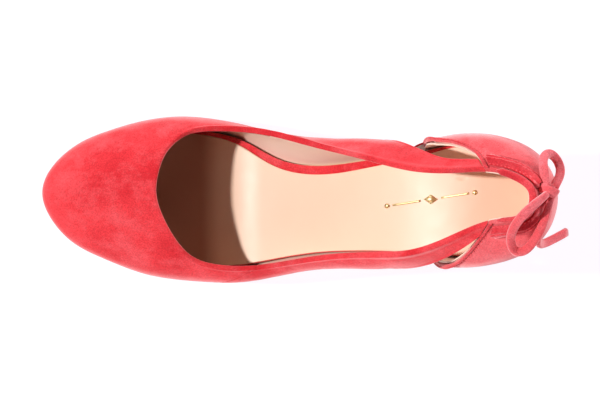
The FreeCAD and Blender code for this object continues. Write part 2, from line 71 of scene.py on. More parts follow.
LACE = (3.8, 2.6)       # width and thickness of the folded suede lace
LACE_RUN = (3.4, 1.7)   # and where it lies in the casings

# Top side of the sole: x, height and slope.
BOTTOM = [(-38.0, SOLE_FRONT, 0.0), (-8.0, 10.0, 0.62), (22.0, 33.5, 0.93),
          (60.0, 66.0, 0.62), (112.0, 84.5, 0.22)]
# Middle line that the layers of the bottom close on.
SPINE_X, SPINE_Y = (-84, -50, 0, 40, 84), (2, 0, -3, -3, 0)

# How the upper's section leaves the foot line, passes the widest line and meets the topline.
GIRTH_T = 0.3
FOOT_SLOPE = (2.0, 2.0, 0.8)
GIRTH_SLOPE = 1.48
TOP_SLOPE = 1.15

# Stations: foot line x y, widest line x y z, topline x y z, lean at the top.
STATIONS = np.array([
    (112, 1, 117.6, 1, 108, 103.2, 1.2, 144, 0.9),
    (104.5, 18.8, 108, 21, 107, 99.3, 8.4, 140, 0.9),
    (88, 27.4, 87, 28.8, 101, 87.5, 13.1, 129, 0.9),
    (72, 27, 71, 28.2, 91, 71.5, 13.1, 118, 0.9),
    (57, 23.8, 56, 26.5, 84, 55, 14.2, 107, 0.9),
    (38, 21.3, 37, 27.5, 75, 38, 18.8, 94, 0.9),
    (18, 19.2, 17, 28.5, 60, 18, 25, 74, 0.9),
    (-2, 22.5, -3, 31.8, 36, -2.5, 31.5, 50, 0.9),
    (-20, 32, -21, 36.4, 26, -20, 34.5, 39, 0.8),
    (-42, 36.8, -42, 39.9, 20, -37, 34.5, 36.5, 0.6),
    (-64, 35.8, -63, 39.3, 19, -47, 31.5, 37.5, 0.4),
    (-84, 29.5, -83.5, 34, 19, -53.5, 26, 40.5, 0.4),
    (-102, 21.5, -103, 25, 18, -58, 17.5, 43.5, 0.4),
    (-114, 4.5, -117.2, 4.5, 18, -60.2, 6, 45, 0.4),
    (-104, -14.5, -105.5, -18, 18, -58.8, -3.5, 44.3, 0.4),
    (-87, -24.5, -87.5, -28.2, 19, -54.5, -13.5, 42.5, 0.4),
    (-66, -32, -66.5, -36, 19, -48, -23.5, 40, 0.4),
    (-44, -35.5, -43, -39.3, 20, -38, -30.8, 37.8, 0.6),
    (-22, -35, -22, -39.5, 26, -21, -33, 38.5, 0.8),
    (-3, -31.5, -3, -36, 37, -2.5, -30.8, 50, 0.9),
    (17, -28, 17, -32, 56, 18, -26.8, 73, 0.9),
    (37, -26.8, 37, -31, 75, 38, -24.8, 93, 0.9),
    (56, -26.8, 56, -30.2, 84, 55, -23.5, 107, 0.9),
    (72, -27.6, 71, -29.6, 91, 71.5, -17.0, 118, 0.9),
    (88, -27.4, 87, -28.6, 101, 87.5, -9.6, 129, 0.9),
    (104.5, -18.2, 108, -20, 107, 99.5, -7.5, 140, 0.9),
], float)
TURN = len(STATIONS)

# Heel sections from above the seat down: front x z, back x z, half width, squareness.
HEEL = np.array([
    (51, 76, 113, 98, 27.4, 5), (54, 66, 112.4, 87.5, 27.2, 5), (56.5, 60, 111.6, 80.5, 26.6, 5),
    (63, 55, 110, 74, 24, 4.2), (72, 49, 107.6, 65, 19.5, 3.6), (79.5, 40, 105.2, 52, 14.5, 3.2),
    (83.5, 28, 103.2, 36, 10.8, 3), (85.8, 15, 102, 18, 9, 3), (86.5, 6, 101.6, 6, 8.4, 3)], float)

# Edges of the upper's pieces, as (station, height) points.
VAMP_LOW = [(9.06, 0), (13.05, 0), (17.04, 0)]
VAMP_TOP = [(7.18, 1), (12.8, 1), (18.42, 1)]
VAMP_LINING_TOP = [(7.18, 0.95), (12.8, 0.975), (18.42, 0.95)]
STRAP_LINING_TOP = 0.955
STRAP_IN_LOW = [(9.05, 0), (7.65, 0), (6.25, 0), (4.85, 0), (4.62, 0.2), (4.3, 0.4),
                (3.85, 0.61), (3.15, 0.81), (2.3, 0.86)]
STRAP_IN_TOP = [(7.17, 1), (6.5, 1), (5.85, 1), (5.2, 1), (4.6, 1), (4.0, 1), (3.4, 1),
                (2.8, 1), (2.2, 1)]
STRAP_OUT_LOW = [(17.05, 0), (18.5, 0), (19.95, 0), (21.4, 0), (21.6, 0.2), (21.95, 0.38),
                 (22.5, 0.54), (23.1, 0.7), (23.74, 0.86)]
STRAP_OUT_TOP = [(18.43, 1), (19.15, 1), (19.85, 1), (20.55, 1), (21.2, 1), (21.85, 1), (22.5, 1),
                 (23.2, 1), (23.88, 1)]
STRAP_CORNER = 3        # number of the point where the cut-out meets the foot line
COUNTER_OUT = [(22.7, 0), (22.95, 0.3), (23.4, 0.62), (23.8, 0.9), (23.9, 1)]
COUNTER_IN = [(29.6, 0), (29.52, 0.28), (29.32, 0.44), (28.93, 0.54), (28.6, 0.65),
              (28.36, 0.76), (28.25, 0.88), (28.2, 1)]
CASINGS = {"inner": ([(2.07, 0.82), (1.25, 0.835), (0.45, 0.85)],
                     [(2.07, 0.965), (1.25, 0.965), (0.45, 0.965)]),
           "outer": ([(24.03, 0.83), (24.7, 0.84), (25.4, 0.85)],
                     [(24.03, 0.965), (24.7, 0.965), (25.4, 0.965)])}
COLLAR = (24.1, 27.9)   # stations where the collar's binding starts and ends

# Lace in the casings: first station, last station and the place where it meets the knot.
LACE_RUNS = {"inner": (2.0, 0.5, (108.2, 6.4, 137.4)),
             "outer": (24.1, 25.45, (109.4, -0.6, 136.6))}

# Routes of the bow's loops and tails, which start at the knot.
KNOT = np.array((109.4, 3.6, 138.8))
KNOT_AXIS = (0.42, 0.9, -0.05)
LOOP_INNER = [(108.8, 5.6, 140.2), (107.4, 11.8, 140.2), (107.4, 17.4, 136.6),
              (110.6, 19.9, 132.4), (114.8, 16.8, 129.6), (116.2, 10.6, 131.4), (112.2, 4.8, 137.4)]
LOOP_OUTER = [(108.6, 2.6, 141.4), (104.4, -0.2, 148.8), (98.0, -5.6, 147.6), (94.2, -12.2, 140.2),
              (94.4, -18.0, 133.4), (96.8, -21.8, 131.0), (101.0, -21.2, 132.6),
              (104.4, -16.2, 136.6), (107.4, -9.6, 140.6), (110.4, 0.8, 140.4)]
TAIL_INNER = [(111.4, 5.0, 134.4), (114.4, 8.4, 129.2), (117.0, 11.2, 121.4),
              (118.6, 14.0, 113.4), (118.2, 16.8, 105.0)]
TAIL_OUTER = [(110.6, 0.6, 135.0), (110.0, -4.6, 135.8), (107.8, -10.6, 133.0),
              (106.2, -17.2, 129.6), (110.0, -19.4, 118.8), (121.6, -13.8, 108.5)]

# Sections of the heel's tip: height, and size as a share of the heel's last section.
TIP = [(0.0, 0.001), (0.0, 0.5), (0.0, 0.94), (0.2, 0.975), (0.6, 0.99), (2.6, 0.99),
       (2.8, 0.975), (3.0, 0.99), (TIP_HEIGHT - 0.6, 0.995), (TIP_HEIGHT - 0.2, 0.98),
       (TIP_HEIGHT - TIP_GAP, 0.94), (TIP_HEIGHT - TIP_GAP, 0.5), (TIP_HEIGHT - TIP_GAP, 0.001)]

# Foil ornament on the sock: its middle, slope, and places from the middle.
FOIL_X, FOIL_Y = 66, 0.3
FOIL_SLOPE = 0.16
FOIL_LOZENGE = (3.0, 2.2)
FOIL_DOT, FOIL_DOT_X = 1.1, 19
FOIL_RULE, FOIL_RULE_X = 0.45, (4.5, 16.5)
FOIL_OVER, FOIL_UNDER = 0.32, 0.35      # reach over and under the sock's top side


# ---- the shoe's surfaces ---------------------------------------------------------------------
def cubic(start, start_slope, end, end_slope, u):
    """Curve with those slopes at its ends, for u from 0 to 1."""
    return (start * (2 * u**3 - 3 * u**2 + 1) + start_slope * (u**3 - 2 * u**2 + u)
            + end * (3 * u**2 - 2 * u**3) + end_slope * (u**3 - u**2))


def step(low, high, x):
    """0 below low, 1 above high and smooth between them."""
    u = np.clip((np.asarray(x, float) - low) / (high - low), 0, 1)
    return u * u * (3 - 2 * u)


def bottom_height(x):
    """Height of the outsole's top side."""
    x = np.asarray(x, float)
    rise = TOE_SPRING * (np.maximum(0, TOE_SPRING_X - x) / TOE_SPRING_RUN) ** 2
    z = SOLE_FRONT + rise
    for (x0, z0, m0), (x1, z1, m1) in zip(BOTTOM, BOTTOM[1:]):
        run = x1 - x0
        z = np.where(x > x0, cubic(z0, m0 * run, z1, m1 * run, (x - x0) / run), z)
    return np.where(x > x1, z1 + m1 * (x - x1), z)


def bottom_normal(x):
    """Direction square to the outsole's top side."""
    slope = (bottom_height(np.asarray(x) + 0.01) - bottom_height(np.asarray(x) - 0.01)) / 0.02
    normal = np.stack([-slope, np.zeros_like(slope), np.ones_like(slope)], -1)
    return normal / np.linalg.norm(normal, axis=-1, keepdims=True)


def above_bottom(x, y, height):
    """Point over the plan place (x, y), at a height measured square to the bottom."""
    x, y, height = np.broadcast_arrays(*[np.asarray(a, float) for a in (x, y, height)])
    under = x.copy()
    for _ in range(4):
        under = x - bottom_normal(under)[..., 0] * height
    z = bottom_height(under) + bottom_normal(under)[..., 2] * height
    return np.stack([x, y, z], -1)


def ring_controls(values):
    """Control values of the closed cubic curves through the stations' values."""
    n = len(values)
    matrix = np.zeros((n, n))
    for i in range(n):
        matrix[i, [i - 1, i, (i + 1) % n]] = (1 / 6, 4 / 6, 1 / 6)
    return np.linalg.solve(matrix, values)


CONTROLS = ring_controls(STATIONS)


def station(s):
    """The nine values of a station at any place s on the way round."""
    s = np.asarray(s, float)
    i = np.floor(s).astype(int)
    u = (s - i)[..., None]
    weights = ((1 - u)**3, 3 * u**3 - 6 * u**2 + 4, -3 * u**3 + 3 * u**2 + 3 * u + 1, u**3)
    return sum(w * CONTROLS[(i - 1 + j) % TURN] for j, w in enumerate(weights)) / 6


def outer_point(s, t):
    """Point on the upper's outer side."""
    row = station(s)
    t = np.asarray(t, float)[..., None]
    foot = np.concatenate([row[..., 0:2], bottom_height(row[..., 0])[..., None]], -1)
    girth, top, lean = row[..., 2:5], row[..., 5:8], row[..., 8:9]
    rise = GIRTH_SLOPE * (top[..., 2:3] - girth[..., 2:3])
    flat = np.zeros_like(rise)
    upright = np.concatenate([flat, flat, rise], -1)
    low = cubic(foot, (girth - foot) * FOOT_SLOPE, girth,
                upright * GIRTH_T / (1 - GIRTH_T), t / GIRTH_T)
    reach = (top - girth) * np.concatenate([flat + TOP_SLOPE, flat + TOP_SLOPE, lean], -1)
    high = cubic(girth, upright, top, reach, (t - GIRTH_T) / (1 - GIRTH_T))
    return np.where(t < GIRTH_T, low, high)


def unit(v):
    return v / np.linalg.norm(v, axis=-1, keepdims=True)


def outward(s, t):
    """Direction square to the upper, level at the foot line."""
    e = 0.01
    along = outer_point(s + e, t) - outer_point(s - e, t)
    up = outer_point(s, np.minimum(1, t + e)) - outer_point(s, np.maximum(0, t - e))
    level = np.stack([along[..., 1], -along[..., 0], np.zeros_like(along[..., 0])], -1)
    share = step(0, GIRTH_T, t)[..., None]
    return unit(unit(level) * (1 - share) + unit(np.cross(along, up)) * share)


def upper_point(s, t, depth):
    """Point at a depth under the upper's outer side."""
    s, t, depth = np.broadcast_arrays(*[np.asarray(a, float) for a in (s, t, depth)])
    return outer_point(s, t) - outward(s, t) * depth[..., None]


def bumps(points, size, seed=0.0):
    """Smooth noise from -1 to 1 at points in mm, with features of about that size."""
    flat = points.reshape(-1, 3) / size + seed
    values = [noise.noise(Vector(p)) for p in flat]
    return np.array(values).reshape(points.shape[:-1])


# ---- mesh builders ---------------------------------------------------------------------------
def add_mesh(name, points, faces, material):
    """Smooth shaded mesh from points in mm."""
    mesh = bpy.data.meshes.new(name)
    mesh.from_pydata((np.asarray(points).reshape(-1, 3) * MM).tolist(), [], faces)
    mesh.materials.append(material)
    mesh.update()
    mesh.shade_smooth()
    piece = bpy.data.objects.new(name, mesh)
    bpy.context.scene.collection.objects.link(piece)
    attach(piece, "root")
    return piece


def stand_for(piece, slot, *nodes):
    """Let a piece take the place of the CAD nodes, which are hidden; slot is not used."""
    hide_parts(*nodes)
    return piece


def grid_faces(rows, columns, start=0, flip=False, wrap=False):
    """Quads of a grid of points numbered row by row; wrap joins the last column to the first."""
    faces = []
    for i in range(rows - 1):
        for j in range(columns if wrap else columns - 1):
            k = (j + 1) % columns
            quad = [i * columns + j, i * columns + k, (i + 1) * columns + k, (i + 1) * columns + j]
            faces.append([start + v for v in (quad[::-1] if flip else quad)])
    return faces


def end_spacing(lengths, radius, count):
    """Fractions along edges of the given lengths, closer at both ends, where they round off."""
    near = radius * (1 - np.cos(np.linspace(0, math.pi / 2, 5)))
    lengths = np.atleast_1d(lengths)[:, None]
    inner = np.linspace(0, 1, count)[None, :]
    low = near[None, :] / lengths
    middle = low[:, -1:] + (1 - 2 * low[:, -1:]) * inner
    return np.concatenate([low[:, :-1], middle, 1 - low[:, -2::-1]], 1)


def edge_line(points, u, corner=None):
    """Smooth line through (station, height) points, kept sharp at the corner point."""
    points = np.asarray(points, float)
    n = len(points)
    place = np.clip(np.asarray(u, float), 0, 1) * (n - 1)
    i = np.minimum(place.astype(int), n - 2)
    part = (place - i)[..., None]
    slope = np.gradient(points, axis=0)
    leave, arrive = slope.copy(), slope.copy()
    if corner:
        arrive[corner] = points[corner] - points[corner - 1]
        leave[corner] = points[corner + 1] - points[corner]
    line = cubic(points[i], leave[i], points[i + 1], arrive[i + 1], part)
    return line[..., 0], line[..., 1]


def column_place(low, top, corner=None):
    """Places in a panel whose columns run from a low edge to a top edge."""
    def place(u, v):
        s0, t0 = edge_line(low, u, corner)
        s1, t1 = edge_line(top, u, corner)
        return s0 + (s1 - s0) * v, t0 + (t1 - t0) * v
    return place


def row_place(start, end):
    """Places in a panel whose rows run level from a start edge to an end edge."""
    def place(u, v):
        a = np.interp(v, [t for s, t in start], [s for s, t in start])
        b = np.interp(v, [t for s, t in end], [s for s, t in end])
        return a + (b - a) * u, v
    return place


def panel(name, place, outer, inner, columns, rows, material, radius=0.6, relief=None):
    """Closed sheet on the upper between two depths, rounded off along its edges.

    The depths are numbers or rules, and relief raises the outer side. Both get the place of
    each point: s, t, u, v, and its distances in mm from the top, a long edge and the ends.
    """
    samples = np.linspace(0, 1, 25)
    middle = outer_point(*place(samples, np.full_like(samples, 0.5)))
    length = np.linalg.norm(np.diff(middle, axis=0), axis=1).sum()
    u = end_spacing(length, radius, columns)[0]
    heights = outer_point(*place(u[:, None], samples[None, :]))
    heights = np.linalg.norm(np.diff(heights, axis=1), axis=2).sum(1)
    v = end_spacing(heights, radius, rows)
    u = np.repeat(u[:, None], v.shape[1], 1)
    to_top = (1 - v) * heights[:, None]
    near = np.minimum(v * heights[:, None], to_top)
    ends = np.minimum(u, 1 - u) * length
    rounded = [np.sqrt(np.maximum(0, 1 - (1 - np.clip(e, 0, 1)) ** 2))
               for e in (near / radius, ends / (0.4 * radius))]
    share = rounded[0] * rounded[1]
    s, t = place(u, v)
    info = {"s": s, "t": t, "u": u, "v": v, "top": to_top, "near": near, "ends": ends}
    depths = [d(info) if callable(d) else np.full_like(s, d) for d in (outer, inner)]
    centre = (depths[0] + depths[1]) / 2
    half = (depths[1] - depths[0]) / 2
    swell = 0 if relief is None else relief(info, outer_point(s, t)) * share
    front = upper_point(s, t, centre - half * share - swell)
    back = upper_point(s, t, centre + half * share)
    n_u, n_v = s.shape
    index = np.arange(n_u * n_v).reshape(n_u, n_v)
    inside = (n_u - 2, n_v - 2)
    back_index = index.copy()
    back_index[1:-1, 1:-1] = n_u * n_v + np.arange(inside[0] * inside[1]).reshape(inside)
    points = np.concatenate([front.reshape(-1, 3), back[1:-1, 1:-1].reshape(-1, 3)])
    faces = grid_faces(n_u, n_v, flip=True)
    for face in grid_faces(n_u, n_v):
        faces.append([int(back_index[k // n_v, k % n_v]) for k in face])
    early, late = place(np.array([0.2, 0.8]), np.array([0.5, 0.5]))[0]
    if early > late:
        faces = [face[::-1] for face in faces]
    return add_mesh(name, points, faces, material)


def outline(s, inset):
    """Plan place inside the foot line by inset."""
    s = np.asarray(s, float)
    row = station(s)[..., 0:2]
    along = station(s + 0.01)[..., 0:2] - station(s - 0.01)[..., 0:2]
    normal = unit(np.stack([along[..., 1], -along[..., 0]], -1))
    return row - normal * np.asarray(inset, float)[..., None]


def bottom_ring(name, section, material, count=420):
    """Closed band round the bottom: section is a loop of (inset, height) values or rules."""
    s = np.linspace(0, TURN, count, endpoint=False)
    loops = []
    for inset, height in section:
        inset = inset(s) if callable(inset) else np.full(count, float(inset))
        plan = outline(s, inset)
        loops.append(above_bottom(plan[:, 0], plan[:, 1], height))
    points = np.stack(loops + loops[:1])
    faces = grid_faces(len(loops) + 1, count, wrap=True)
    n = len(loops) * count
    faces = [[v % n for v in face] for face in faces]
    return add_mesh(name, points[:-1], faces, material)


def bottom_plate(name, inset, low, high, radius, material, x_max=None, relief=None, count=360):
    """Layer of the bottom with a rounded edge, closed over its middle line.

    With x_max it is cut off square there.
    """
    s = np.linspace(0, TURN, count, endpoint=False)
    base = inset(s) if callable(inset) else np.full(count, float(inset))
    spine_x = np.clip(outline(s, base)[:, 0], SPINE_X[0], SPINE_X[-1])
    spine = np.stack([spine_x, np.interp(spine_x, SPINE_X, SPINE_Y)], -1)
    under_rows, top_rows = 22, 60

    def loop(draw_in, share, height):
        plan = outline(s, base + draw_in)
        if x_max is not None:
            near_cut = (plan[:, 0] > x_max - 3) & (plan[:, 0] <= x_max)
            beyond = plan[:, 0] > x_max
            side = plan[near_cut, 1]
            plan[beyond, 1] = np.clip(plan[beyond, 1], side.min(), side.max())
        plan = spine + (plan - spine) * share
        if x_max is not None:
            plan[:, 0] = np.minimum(plan[:, 0], x_max - draw_in)
        return above_bottom(plan[:, 0], plan[:, 1], height(plan[:, 0]))

    turn = np.linspace(0, math.pi / 2, 5)
    loops = [loop(radius, share, low) for share in np.linspace(0, 1, under_rows)]
    for a in turn[1:]:
        rise = radius * (1 - math.cos(a))
        loops.append(loop(radius * (1 - math.sin(a)), 1, lambda x: low(x) + rise))
    for a in turn:
        drop = radius * (1 - math.sin(a))
        loops.append(loop(radius * (1 - math.cos(a)), 1, lambda x: high(x) - drop))
    loops += [loop(radius, share, high) for share in np.linspace(1, 0, top_rows)[1:]]
    points = np.stack(loops)
    if relief is not None:
        points[-top_rows:, :, 2] += relief(points[-top_rows:])
    return add_mesh(name, points, grid_faces(len(loops), count, wrap=True), material)


def tube_frames(path, across):
    """Tangents, widths and faces along a path, the width kept near the across direction."""
    path = np.asarray(path, float)
    tangent = unit(np.gradient(path, axis=0))
    across = np.broadcast_to(np.asarray(across, float), path.shape)
    wide = unit(across - (across * tangent).sum(1, keepdims=True) * tangent)
    return tangent, wide, np.cross(tangent, wide)


def band(name, path, across, width, thickness, material, sides=20, closed=False, groove=0.0):
    """Soft flat band along a path, with round edges and, if asked, a groove along its middle."""
    groove_width, unevenness, end_bulge = 0.2, 0.12, 0.4
    path = np.asarray(path, float)
    n = len(path)
    width = np.broadcast_to(np.asarray(width, float), n)[:, None]
    thickness = np.broadcast_to(np.asarray(thickness, float), n)[:, None]
    tangent, wide, face = tube_frames(path, across)
    angle = np.linspace(0, 2 * math.pi, sides, endpoint=False)[None, :]
    x = np.sign(np.cos(angle)) * np.abs(np.cos(angle)) ** 0.75
    y = np.sign(np.sin(angle)) * np.abs(np.sin(angle)) ** 0.65
    y = y - groove * np.exp(-(x / groove_width) ** 2) * np.sign(y)
    points = (path[:, None, :] + wide[:, None, :] * (x * width / 2)[..., None]
              + face[:, None, :] * (y * thickness / 2)[..., None])
    points += face[:, None, :] * (unevenness * bumps(points, 3.0))[..., None]
    points = points.reshape(-1, 3)
    if not closed:
        points = np.concatenate([points, path[:1] - tangent[:1] * end_bulge,
                                 path[-1:] + tangent[-1:] * end_bulge])
    faces = grid_faces(n, sides, wrap=True)
    last = (n - 1) * sides
    for j in range(sides):
        k = (j + 1) % sides
        if closed:
            faces.append([last + j, last + k, k, j])
        else:
            faces.append([k, j, n * sides])
            faces.append([last + j, last + k, n * sides + 1])
    return add_mesh(name, points, faces, material)


def smooth_path(route):
    """Points in mm along the NURBS line whose control points are the route's."""
    curve = bpy.data.curves.new("route", "CURVE")
    curve.dimensions = "3D"
    spline = curve.splines.new("NURBS")
    spline.points.add(len(route) - 1)
    for point, place in zip(spline.points, route):
        point.co = (*[c * MM for c in place], 1.0)
    spline.order_u = 3
    spline.use_endpoint_u = True
    spline.resolution_u = 10
    holder = bpy.data.objects.new("route", curve)
    bpy.context.scene.collection.objects.link(holder)
    bpy.context.view_layer.update()
    mesh = bpy.data.meshes.new_from_object(holder)
    points = np.array([v.co for v in mesh.vertices], float) / MM
    bpy.data.objects.remove(holder)
    bpy.data.meshes.remove(mesh)
    bpy.data.curves.remove(curve)
    return points


def stitch_row(name, points, normals, material, pitch=2.3, length=1.55, radius=0.27):
    """Row of thread stitches that lie half sunk in a surface."""
    end_dip = 0.34
    points = np.asarray(points, float)
    run = np.concatenate([[0], np.cumsum(np.linalg.norm(np.diff(points, axis=0), axis=1))])
    places, faces = [], []
    rings = np.linspace(-1, 1, 7)
    sides = 6
    for k in range(int(run[-1] / pitch)):
        middle = (k + 0.5) * pitch
        at = middle + rings * length / 2
        centre = np.stack([np.interp(at, run, points[:, a]) for a in range(3)], -1)
        normal = unit(np.stack([np.interp(at, run, normals[:, a]) for a in range(3)], -1))
        tangent = unit(np.gradient(centre, axis=0))
        side = np.cross(tangent, normal)
        thick = radius * np.sqrt(np.maximum(0.02, 1 - rings ** 4))
        centre = centre - normal * (end_dip * rings ** 2)[:, None]
        start = len(places) * len(rings) * sides
        angle = np.linspace(0, 2 * math.pi, sides, endpoint=False)
        loop = (centre[:, None] + side[:, None] * (np.cos(angle) * thick[:, None])[..., None]
                + normal[:, None] * (np.sin(angle) * thick[:, None])[..., None])
        places.append(loop.reshape(-1, 3))
        faces += grid_faces(len(rings), sides, start, wrap=True)
        faces.append([start + j for j in range(sides)][::-1])
        faces.append([start + (len(rings) - 1) * sides + j for j in range(sides)])
    return add_mesh(name, np.concatenate(places), faces, material)


def surface_stitches(name, line, material, depth=-0.1, **sizes):
    """Stitches along (station, height) points on the upper."""
    s, t = edge_line(line, np.linspace(0, 1, 240))
    return stitch_row(name, upper_point(s, t, depth), outward(s, t), material, **sizes)


# ---- materials -------------------------------------------------------------------------------
BLACK, WHITE = (0, 0, 0), (1, 1, 1)
PAINTED_SHEEN = (0.97, 0.40, 0.42)      # painted sheen: pale colour blended in where the nap is seen at a grazing angle


def material(name, values):
    made = bpy.data.materials.new(name)
    made.use_nodes = True
    shader = made.node_tree.nodes["Principled BSDF"]
    for key, value in values.items():
        shader.inputs[key].default_value = value
    return made, made.node_tree, shader


def add_noise(tree, scale, detail=4.0, rough=0.55, stretch=(1, 1, 1)):
    """Noise on object coordinates; scale is in features per metre."""
    coordinates = tree.nodes.new("ShaderNodeTexCoord")
    mapping = tree.nodes.new("ShaderNodeMapping")
    mapping.inputs["Scale"].default_value = stretch
    texture = tree.nodes.new("ShaderNodeTexNoise")
    texture.inputs["Scale"].default_value = scale
    texture.inputs["Detail"].default_value = detail
    texture.inputs["Roughness"].default_value = rough
    tree.links.new(coordinates.outputs["Object"], mapping.inputs["Vector"])
    tree.links.new(mapping.outputs["Vector"], texture.inputs["Vector"])
    return texture.outputs["Fac"]


def ramp(tree, source, low, high, first, second):
    """Blend between two colours as source goes from low to high."""
    node = tree.nodes.new("ShaderNodeValToRGB")
    node.color_ramp.elements[0].position = low
    node.color_ramp.elements[0].color = (*first, 1)
    node.color_ramp.elements[1].position = high
    node.color_ramp.elements[1].color = (*second, 1)
    tree.links.new(source, node.inputs["Fac"])
    return node.outputs["Color"]


def mix(tree, share, first, second, blend="MIX"):
    """Blend of two colours; each value is a number, a colour or a node's output."""
    node = tree.nodes.new("ShaderNodeMix")
    node.data_type = "RGBA"
    node.blend_type = blend
    for value, socket in ((share, node.inputs[0]), (first, node.inputs[6]), (second, node.inputs[7])):
        if isinstance(value, bpy.types.NodeSocket):
            tree.links.new(value, socket)
        else:
            socket.default_value = value if isinstance(value, float) else (*value, 1)
    return node.outputs[2]


def length_share(tree, stretch, in_front):
    """Share from 0 to 1 along a stretch of the shoe's length, or from 1 to 0 if in front."""
    place = tree.nodes.new("ShaderNodeSeparateXYZ")
    tree.links.new(tree.nodes.new("ShaderNodeTexCoord").outputs["Object"], place.inputs["Vector"])
    share = tree.nodes.new("ShaderNodeMapRange")
    share.interpolation_type = "SMOOTHSTEP"
    share.inputs["From Min"].default_value, share.inputs["From Max"].default_value = stretch
    share.inputs["To Min"].default_value = 1.0 if in_front else 0.0
    share.inputs["To Max"].default_value = 0.0 if in_front else 1.0
    tree.links.new(place.outputs["X"], share.inputs["Value"])
    return share.outputs["Result"]


def add_bump(tree, shader, source, strength, distance, before=None):
    """Bump of a height in metres, laid over the one before it if there is one."""
    node = tree.nodes.new("ShaderNodeBump")
    node.inputs["Strength"].default_value = strength
    node.inputs["Distance"].default_value = distance
    tree.links.new(source, node.inputs["Height"])
    if before is not None:
        tree.links.new(before, node.inputs["Normal"])
    tree.links.new(node.outputs["Normal"], shader.inputs["Normal"])
    return node.outputs["Normal"]


def suede(name, base, deep, pale, sheen=0.6, painted_sheen=0.5):
    """Napped suede: brushed patches, fine fibres and a painted sheen, a pale colour blended in at
    grazing angles.
    """
    made, tree, shader = material(name, {"Roughness": 0.95, "Specular IOR Level": 0.1,
                                         "Sheen Weight": sheen, "Sheen Roughness": 0.4,
                                         "Sheen Tint": (1.0, 0.55, 0.56, 1)})
    patches = add_noise(tree, 24, 3, 0.55)
    brushed = add_noise(tree, 75, 7, 0.72, (0.8, 1.1, 1.0))
    fibres = add_noise(tree, 1500, 3, 0.75)
    colour = mix(tree, ramp(tree, patches, 0.38, 0.6, BLACK, WHITE), deep, base)
    streaks = ramp(tree, brushed, 0.45, 0.72, BLACK, (0.6, 0.6, 0.6))
    colour = mix(tree, streaks, colour, pale)
    specks = ramp(tree, fibres, 0.3, 0.7, (0.72, 0.62, 0.62), (1.16, 1.25, 1.25))
    colour = mix(tree, 1.0, colour, specks, "MULTIPLY")
    # Painted sheen: the colour is blended towards a pale pink as the surface turns away from the
    # view.
    facing = tree.nodes.new("ShaderNodeLayerWeight")
    facing.inputs["Blend"].default_value = 0.5
    edge = ramp(tree, facing.outputs["Facing"], 0.55, 1.0, BLACK, (painted_sheen, painted_sheen, painted_sheen))
    colour = mix(tree, edge, colour, PAINTED_SHEEN)
    tree.links.new(colour, shader.inputs["Base Color"])
    first = add_bump(tree, shader, brushed, 0.25, 0.0006)
    add_bump(tree, shader, fibres, 0.6, 0.0003, first)
    return made


def leather(name, base, other, rough=0.42, grain=900, strength=0.12, level=0.5, painted_shades=()):
    """Smooth leather: faint colour drift, pores and an uneven polish.

    Each painted shade is a stretch of the shoe's length, a darker colour painted in there as
    shade, and whether that colour lies in front of the stretch.
    """
    made, tree, shader = material(name, {"Specular IOR Level": level})
    drift = add_noise(tree, 22, 4, 0.5)
    pores = add_noise(tree, grain, 4, 0.6)
    colour = mix(tree, ramp(tree, drift, 0.3, 0.7, BLACK, WHITE), base, other)
    # Painted shade: blend the colour to each darker shade along its stretch of the length.
    for stretch, shade, in_front in painted_shades:
        colour = mix(tree, length_share(tree, stretch, in_front), colour, shade)
    tree.links.new(colour, shader.inputs["Base Color"])
    polish = tree.nodes.new("ShaderNodeMapRange")
    polish.inputs["To Min"].default_value = rough - 0.06
    polish.inputs["To Max"].default_value = rough + 0.1
    tree.links.new(add_noise(tree, 60, 3, 0.5), polish.inputs["Value"])
    tree.links.new(polish.outputs["Result"], shader.inputs["Roughness"])
    add_bump(tree, shader, pores, strength, 0.0002)
    return made


def metal(name, base, rough):
    """Metal with an uneven polish."""
    made, tree, shader = material(name, {"Metallic": 1.0, "Base Color": (*base, 1)})
    spread = tree.nodes.new("ShaderNodeMapRange")
    spread.inputs["To Min"].default_value = rough
    spread.inputs["To Max"].default_value = rough + 0.18
    tree.links.new(add_noise(tree, 500, 4, 0.6), spread.inputs["Value"])
    tree.links.new(spread.outputs["Result"], shader.inputs["Roughness"])
    return made


